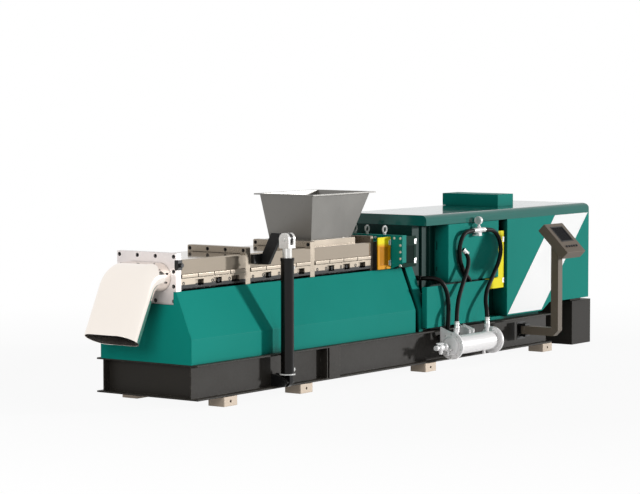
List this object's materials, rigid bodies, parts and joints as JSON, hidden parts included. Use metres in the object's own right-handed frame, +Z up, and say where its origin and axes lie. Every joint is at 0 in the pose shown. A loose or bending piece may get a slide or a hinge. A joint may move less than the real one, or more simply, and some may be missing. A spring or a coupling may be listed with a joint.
{
  "type": "plastic extruder",
  "caption": "Long twin-screw plastic extruder on a beam base, with a clamshell barrel, open feed hopper, bent discharge duct, hooded drive, oil cooler and swivelling operator panel.",
  "frame": {"origin": "middle of the machine's plan, on the ground", "axes": "+X along the machine from the discharge end to the drive end, +Z up, and the side with the oil cooler and operator panel faces -Y"},
  "size_m": [8.0432, 1.9398, 1.904],
  "materials": {
    "dark_steel": "satin",
    "foot_steel": "satin",
    "teal_paint": "satin",
    "black_paint": "satin",
    "bright_steel": "polished",
    "barrel_steel": "satin",
    "hopper_steel": "satin",
    "yellow_guard": "satin",
    "hose_rubber": "matt",
    "panel_grey": "satin"
  },
  "bodies": {
    "base": {"arm_bracket": "black_paint", "barrel_hinges": "barrel_steel", "barrel_lid_1": "barrel_steel", "barrel_lid_2": "barrel_steel", "barrel_lid_3": "barrel_steel", "barrel_lower_1": "barrel_steel", "barrel_lower_2": "barrel_steel", "barrel_lower_3": "barrel_steel", "barrel_rail": "black_paint", "beam_far": "dark_steel", "beam_near": "dark_steel", "cabinet": "teal_paint", "cabinet_cover": "teal_paint", "cabinet_end_strip": "teal_paint", "cooler_brackets": "bright_steel", "cross_beams": "dark_steel", "die_plate": "bright_steel", "discharge_elbow": "bright_steel", "feed_block": "barrel_steel", "feet": "foot_steel", "flange_2": "barrel_steel", "flange_3": "barrel_steel", "flange_4": "barrel_steel", "gear_housing": "teal_paint", "gearbox": "teal_paint", "guard_frame": "black_paint", "hood_roof": "teal_paint", "hood_sill": "teal_paint", "hopper": "hopper_steel", "hose_left": "hose_rubber", "hose_loop": "hose_rubber", "hose_low": "hose_rubber", "hose_right": "hose_rubber", "lantern_body": "teal_paint", "lantern_flange": "teal_paint", "lid_arm": "black_paint", "lower_panel": "teal_paint", "motor_housing": "teal_paint", "oil_cooler": "bright_steel", "oil_gauge": "bright_steel", "oil_manifold": "black_paint", "ram_bracket": "black_paint", "ram_clevis": "bright_steel", "ram_tube": "black_paint", "rear_box": "dark_steel", "roof_box": "teal_paint", "screws": "bright_steel", "sensor_plug": "dark_steel", "terminal_box": "dark_steel"},
    "panel": {"panel_arm": "panel_grey", "operator_panel": "panel_grey"},
    "guard_front": {"guard_front": "yellow_guard"},
    "guard_middle": {"guard_middle": "yellow_guard"},
    "guard_rear": {"guard_rear": "yellow_guard"}
  },
  "joints": [
    {"name": "panel_swivel", "type": "hinge", "parent": "base", "child": "panel", "pos_m": [2.28157, -0.31807, 0.292], "axis": [0, 0, 1], "range_deg": [-45, 45]},
    {"name": "guard_front_hinge", "type": "hinge", "parent": "base", "child": "guard_front", "pos_m": [0.02757, -0.05907, 1.26], "axis": [0, 0, 1], "range_deg": [0, 70]},
    {"name": "guard_middle_hinge", "type": "hinge", "parent": "base", "child": "guard_middle", "pos_m": [0.45757, -0.08707, 1.26], "axis": [0, 0, 1], "range_deg": [0, 100]},
    {"name": "guard_rear_hinge", "type": "hinge", "parent": "base", "child": "guard_rear", "pos_m": [2.07757, -0.16707, 1.085], "axis": [0, 0, 1], "range_deg": [0, 85]}
  ]
}
